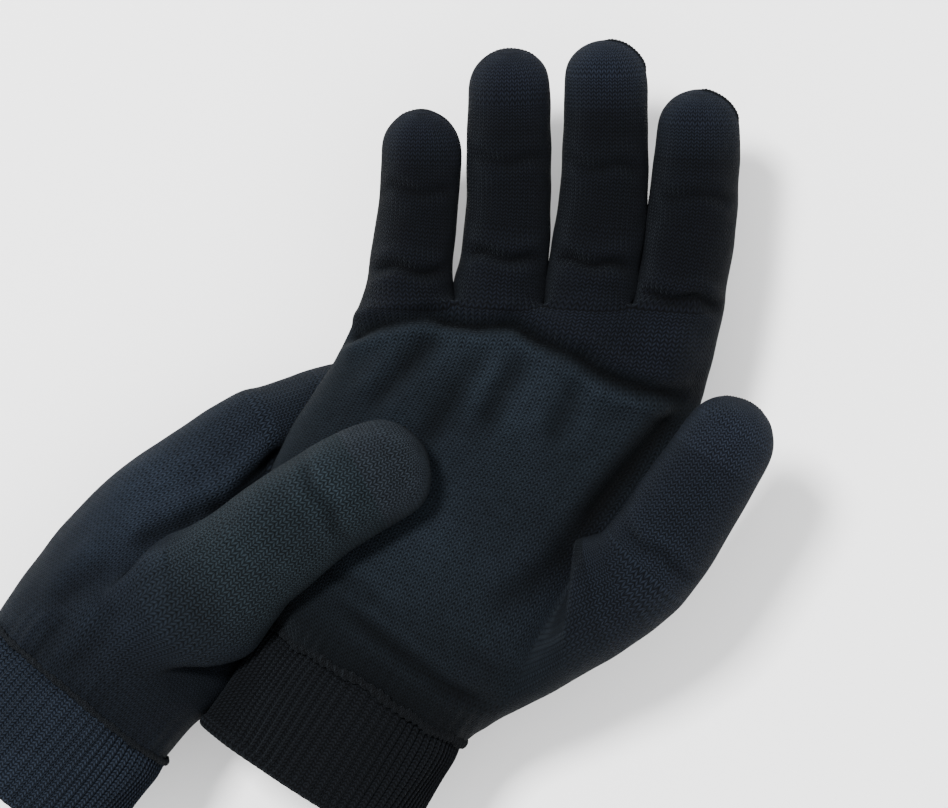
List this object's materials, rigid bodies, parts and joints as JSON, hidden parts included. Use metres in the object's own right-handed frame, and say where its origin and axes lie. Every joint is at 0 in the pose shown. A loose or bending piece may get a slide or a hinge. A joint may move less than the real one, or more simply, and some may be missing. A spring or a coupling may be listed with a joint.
{
  "type": "pair of touchscreen gloves",
  "caption": "Pair of knitted touchscreen gloves with rib cuffs and conductive thumb, index and middle tips, one glove gripping the other, with bending fingers.",
  "frame": {"origin": "middle of the right glove's wrist opening", "axes": "+Z out of the right glove's palm, +Y along the right glove's fingers, +X towards its thumb side"},
  "size_m": [0.217, 0.2063, 0.0737],
  "materials": {
    "knit_hand": "matte",
    "knit_rib": "matte",
    "seam_thread": "matte",
    "conductive_knit": "matte"
  },
  "bodies": {
    "right_hand": {"right_hand_body": "knit_hand", "right_rib_cuff": "knit_rib", "right_cuff_hem": "knit_rib", "right_cuff_seam": "seam_thread", "right_thumb_root": "knit_hand"},
    "right_little_base": {"right_little_base_tube": "knit_hand"},
    "right_little_end": {"right_little_end_tube": "knit_hand", "right_little_tip_seam": "seam_thread"},
    "right_ring_base": {"right_ring_base_tube": "knit_hand"},
    "right_ring_end": {"right_ring_end_tube": "knit_hand", "right_ring_tip_seam": "seam_thread"},
    "right_middle_base": {"right_middle_base_tube": "knit_hand"},
    "right_middle_end": {"right_middle_end_tube": "knit_hand", "right_middle_touch_tip": "conductive_knit", "right_middle_tip_seam": "seam_thread"},
    "right_index_base": {"right_index_base_tube": "knit_hand"},
    "right_index_end": {"right_index_end_tube": "knit_hand", "right_index_touch_tip": "conductive_knit", "right_index_tip_seam": "seam_thread"},
    "right_thumb_base": {"right_thumb_base_tube": "knit_hand"},
    "right_thumb_end": {"right_thumb_end_tube": "knit_hand", "right_thumb_touch_tip": "conductive_knit", "right_thumb_tip_seam": "seam_thread"},
    "left_hand": {"left_hand_body": "knit_hand", "left_rib_cuff": "knit_rib", "left_cuff_hem": "knit_rib", "left_cuff_seam": "seam_thread", "left_thumb_root": "knit_hand"},
    "left_little_base": {"left_little_base_tube": "knit_hand"},
    "left_little_end": {"left_little_end_tube": "knit_hand", "left_little_tip_seam": "seam_thread"},
    "left_ring_base": {"left_ring_base_tube": "knit_hand"},
    "left_ring_end": {"left_ring_end_tube": "knit_hand", "left_ring_tip_seam": "seam_thread"},
    "left_middle_base": {"left_middle_base_tube": "knit_hand"},
    "left_middle_end": {"left_middle_end_tube": "knit_hand", "left_middle_touch_tip": "conductive_knit", "left_middle_tip_seam": "seam_thread"},
    "left_index_base": {"left_index_base_tube": "knit_hand"},
    "left_index_end": {"left_index_end_tube": "knit_hand", "left_index_touch_tip": "conductive_knit", "left_index_tip_seam": "seam_thread"},
    "left_thumb_base": {"left_thumb_base_tube": "knit_hand"},
    "left_thumb_end": {"left_thumb_end_tube": "knit_hand", "left_thumb_touch_tip": "conductive_knit", "left_thumb_tip_seam": "seam_thread"}
  },
  "joints": [
    {"name": "left_glove_off", "type": "slide", "parent": "right_hand", "child": "left_hand", "axis": [-1, 0, 0], "range_m": [0, 0.11]},
    {"name": "right_little_base_bend", "type": "hinge", "parent": "right_hand", "child": "right_little_base", "pos_m": [0.02781, 0.13047, 0.00344], "axis": [1, 0, 0], "range_deg": [0, 70]},
    {"name": "right_little_middle_bend", "type": "hinge", "parent": "right_little_base", "child": "right_little_end", "pos_m": [0.02982, 0.14891, 0.00474], "axis": [1, 0, 0], "range_deg": [0, 80]},
    {"name": "right_ring_base_bend", "type": "hinge", "parent": "right_hand", "child": "right_ring_base", "pos_m": [0.0507, 0.13057, 0.00344], "axis": [1, 0, 0], "range_deg": [0, 70]},
    {"name": "right_ring_middle_bend", "type": "hinge", "parent": "right_ring_base", "child": "right_ring_end", "pos_m": [0.0523, 0.14907, 0.00444], "axis": [1, 0, 0], "range_deg": [0, 80]},
    {"name": "right_middle_base_bend", "type": "hinge", "parent": "right_hand", "child": "right_middle_base", "pos_m": [0.07363, 0.13067, 0.00344], "axis": [1, 0, 0], "range_deg": [0, 70]},
    {"name": "right_middle_middle_bend", "type": "hinge", "parent": "right_middle_base", "child": "right_middle_end", "pos_m": [0.07566, 0.14913, 0.00444], "axis": [1, 0, 0], "range_deg": [0, 80]},
    {"name": "right_index_base_bend", "type": "hinge", "parent": "right_hand", "child": "right_index_base", "pos_m": [0.0968, 0.13073, 0.00344], "axis": [1, 0, 0], "range_deg": [0, 70]},
    {"name": "right_index_middle_bend", "type": "hinge", "parent": "right_index_base", "child": "right_index_end", "pos_m": [0.09882, 0.14916, 0.00473], "axis": [1, 0, 0], "range_deg": [0, 80]},
    {"name": "right_thumb_base_bend", "type": "hinge", "parent": "right_hand", "child": "right_thumb_base", "pos_m": [0.07192, 0.04664, 0.01248], "axis": [0.3103, -0.8953, 0.3196], "range_deg": [0, 30]},
    {"name": "right_thumb_middle_bend", "type": "hinge", "parent": "right_thumb_base", "child": "right_thumb_end", "pos_m": [0.09019, 0.06088, 0.01715], "axis": [0.7145, -0.5707, 0.4047], "range_deg": [0, 50]},
    {"name": "left_little_base_bend", "type": "hinge", "parent": "left_hand", "child": "left_little_base", "pos_m": [0.01191, 0.0305, -0.02732], "axis": [0, 1, 0], "range_deg": [0, 25]},
    {"name": "left_little_middle_bend", "type": "hinge", "parent": "left_little_base", "child": "left_little_end", "pos_m": [0.03005, 0.03453, -0.02716], "axis": [0, 1, 0], "range_deg": [0, 30]},
    {"name": "left_ring_base_bend", "type": "hinge", "parent": "left_hand", "child": "left_ring_base", "pos_m": [0.00683, 0.05105, -0.02208], "axis": [0, 1, 0], "range_deg": [0, 25]},
    {"name": "left_ring_middle_bend", "type": "hinge", "parent": "left_ring_base", "child": "left_ring_end", "pos_m": [0.02488, 0.05541, -0.02229], "axis": [0, 1, 0], "range_deg": [0, 30]},
    {"name": "left_middle_base_bend", "type": "hinge", "parent": "left_hand", "child": "left_middle_base", "pos_m": [0.00154, 0.07171, -0.01758], "axis": [0, 1, 0], "range_deg": [0, 25]},
    {"name": "left_middle_middle_bend", "type": "hinge", "parent": "left_middle_base", "child": "left_middle_end", "pos_m": [0.0192, 0.07665, -0.02048], "axis": [0, 1, 0], "range_deg": [0, 30]},
    {"name": "left_index_base_bend", "type": "hinge", "parent": "left_hand", "child": "left_index_base", "pos_m": [-0.00404, 0.0921, -0.01343], "axis": [0, 1, 0], "range_deg": [0, 25]},
    {"name": "left_index_middle_bend", "type": "hinge", "parent": "left_index_base", "child": "left_index_end", "pos_m": [0.01259, 0.097, -0.02012], "axis": [0, 1, 0], "range_deg": [0, 30]},
    {"name": "left_thumb_base_bend", "type": "hinge", "parent": "left_hand", "child": "left_thumb_base", "pos_m": [-0.01588, 0.05334, 0.01611], "axis": [0.6362, -0.7715, 0], "range_deg": [0, 25]},
    {"name": "left_thumb_middle_bend", "type": "hinge", "parent": "left_thumb_base", "child": "left_thumb_end", "pos_m": [-0.0021, 0.06535, 0.02409], "axis": [0.6201, -0.7845, 0], "range_deg": [0, 25]}
  ]
}
